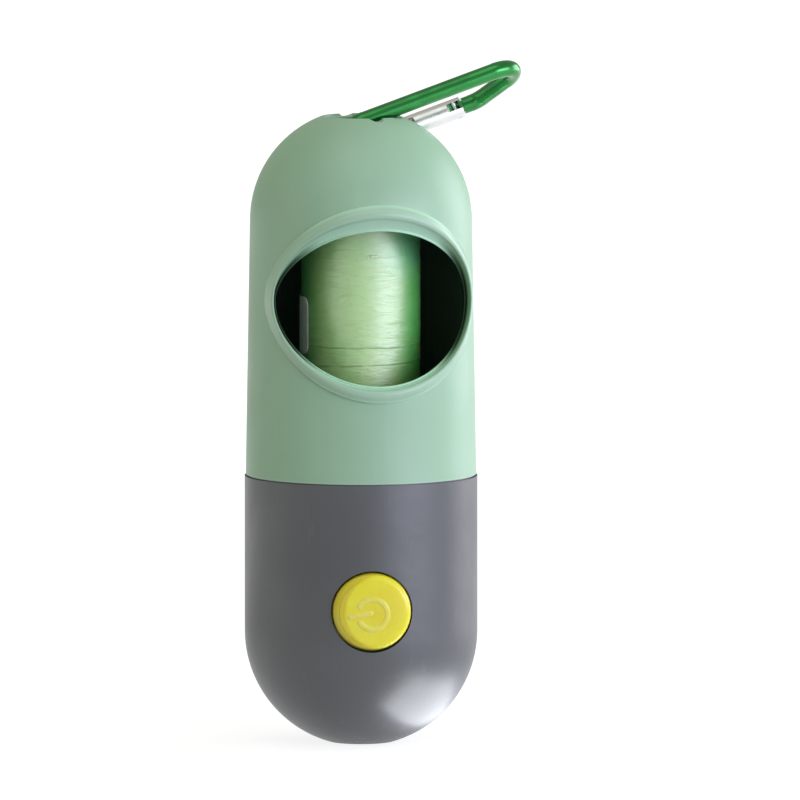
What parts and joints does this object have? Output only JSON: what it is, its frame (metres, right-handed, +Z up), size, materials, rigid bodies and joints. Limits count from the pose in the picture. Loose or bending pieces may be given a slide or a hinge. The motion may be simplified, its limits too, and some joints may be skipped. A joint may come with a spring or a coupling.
{
  "type": "dog poop bag dispenser",
  "caption": "Capsule dispenser for rolls of dog poop bags, with a bag window, a hanging clip and a torch worked by a push button in its lower half.",
  "frame": {"origin": "on the capsule's axis, at the flat foot it stands on", "axes": "+Z up along the capsule from the torch's lens to the hanger, -Y out of the bag window, the clip leans towards +X"},
  "size_m": [0.0504, 0.0428, 0.123],
  "materials": {
    "torch_plastic": "satin moulded plastic, dark grey",
    "bag_plastic": "matt moulded plastic, sage green",
    "button_rubber": "smooth silicone rubber, yellow",
    "switch_black": "matt",
    "switch_metal": "stamped",
    "board_green": "solder mask over glass laminate",
    "screw_steel": "zinc plated",
    "holder_black": "matt",
    "cell_steel": "nickel plated, turned",
    "spring_steel": "drawn wire",
    "contact_brass": "plated",
    "lamp_clear": "clear epoxy",
    "reflector_silver": "vacuum metallised",
    "lens_clear": "clear",
    "divider_plastic": "matt moulded plastic",
    "core_card": "plain grey-brown card",
    "bag_film": "thin translucent film, wound, glossy",
    "label_paper": "plain paper",
    "clip_green": "anodised, bright green",
    "gate_silver": "polished"
  },
  "bodies": {
    "torch": {"torch_shell": "torch_plastic", "push_switch": "switch_metal", "circuit_board": "board_green", "board_screws": "screw_steel", "battery_holder": "holder_black", "button_cells": "cell_steel", "contact_spring": "spring_steel", "contact_plate": "contact_brass", "lamp": "lamp_clear", "reflector": "reflector_silver", "lens": "lens_clear", "divider_plate": "divider_plastic", "divider_screws": "screw_steel"},
    "button": {"button_cap": "button_rubber", "switch_plunger": "switch_black"},
    "bag_half": {"bag_shell": "bag_plastic"},
    "roll": {"roll_core": "core_card", "bag_roll": "bag_film", "roll_label": "label_paper"},
    "clip": {"clip_body": "clip_green", "gate_pivot": "gate_silver"},
    "gate": {"clip_gate": "gate_silver", "latch_pin": "gate_silver", "gate_spring": "spring_steel"}
  },
  "joints": [
    {"name": "button_press", "type": "slide", "parent": "torch", "child": "button", "axis": [0.0872, 0.9962, 0], "range_m": [0, 0.0006], "stiffness_N_per_m": 1500},
    {"name": "bag_half_lift", "type": "slide", "parent": "torch", "child": "bag_half", "axis": [0, 0, 1], "range_m": [0, 0.07]},
    {"name": "roll_spin", "type": "hinge", "parent": "torch", "child": "roll", "pos_m": [0, 0, 0.077], "axis": [0, 0, 1], "continuous": true},
    {"name": "clip_swing", "type": "hinge", "parent": "bag_half", "child": "clip", "pos_m": [0.002, 0, 0.11235], "axis": [0, -1, 0], "range_deg": [0, 70]},
    {"name": "gate_swing", "type": "hinge", "parent": "clip", "child": "gate", "pos_m": [0.00976, 0.00695, 0.11043], "axis": [0.2974, -0.454, -0.8399], "range_deg": [0, 22], "stiffness_Nm_per_rad": 0.008, "springref_deg": -5.73}
  ]
}
